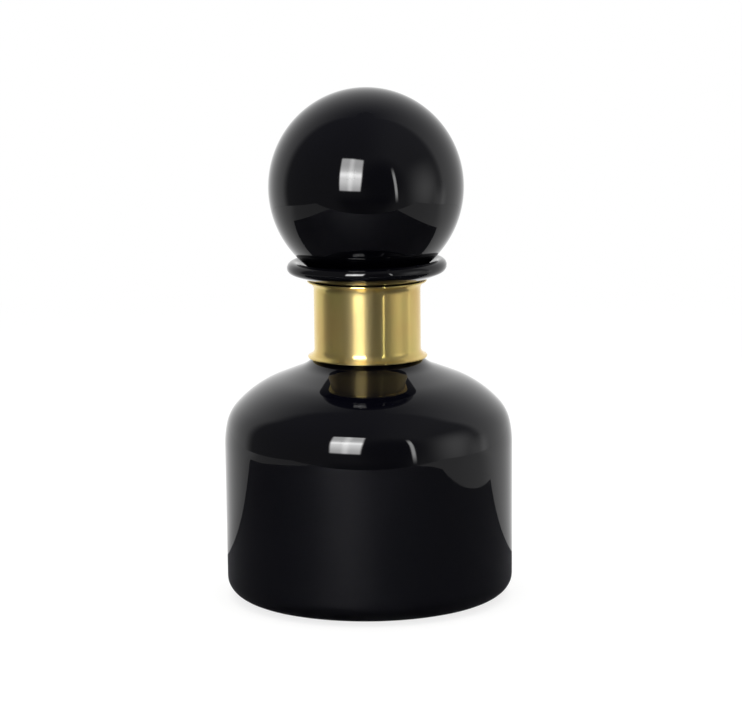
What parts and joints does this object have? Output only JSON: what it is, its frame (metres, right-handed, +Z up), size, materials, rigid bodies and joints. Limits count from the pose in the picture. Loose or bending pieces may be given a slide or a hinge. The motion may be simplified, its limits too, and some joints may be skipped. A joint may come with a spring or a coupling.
{
  "type": "decanter",
  "caption": "Squat round-shouldered black glass decanter with a flared brass neck collar and a hollow ball stopper that lifts out and turns.",
  "frame": {"origin": "centre of the base, on the surface that the decanter stands on", "axes": "+Z up along the axis that every piece is turned about; -Y to the front of the picture, with the collar's seam at +Y"},
  "size_m": [0.1212, 0.1212, 0.214],
  "materials": {
    "bottle_glass": "black glass, blown and fire polished, opaque, with a mirror gloss",
    "stopper_glass": "black glass, blown and fire polished, opaque, with a mirror gloss",
    "brass": "thin rolled sheet, polished, with a slightly uneven shine",
    "cement": "matt plaster cement, hidden under the collar",
    "silicone": "milky translucent silicone, satin"
  },
  "bodies": {
    "bottle": {"bottle": "bottle_glass", "neck_collar": "brass", "collar_bedding": "cement"},
    "seal": {"stopper_seal": "silicone"},
    "stopper": {"stopper": "stopper_glass"}
  },
  "joints": [
    {"name": "stopper_lift", "type": "slide", "parent": "bottle", "child": "seal", "axis": [0, 0, 1], "range_m": [0, 0.042]},
    {"name": "stopper_twist", "type": "hinge", "parent": "seal", "child": "stopper", "pos_m": [0, 0, 0.17], "axis": [0, 0, 1], "continuous": true}
  ]
}
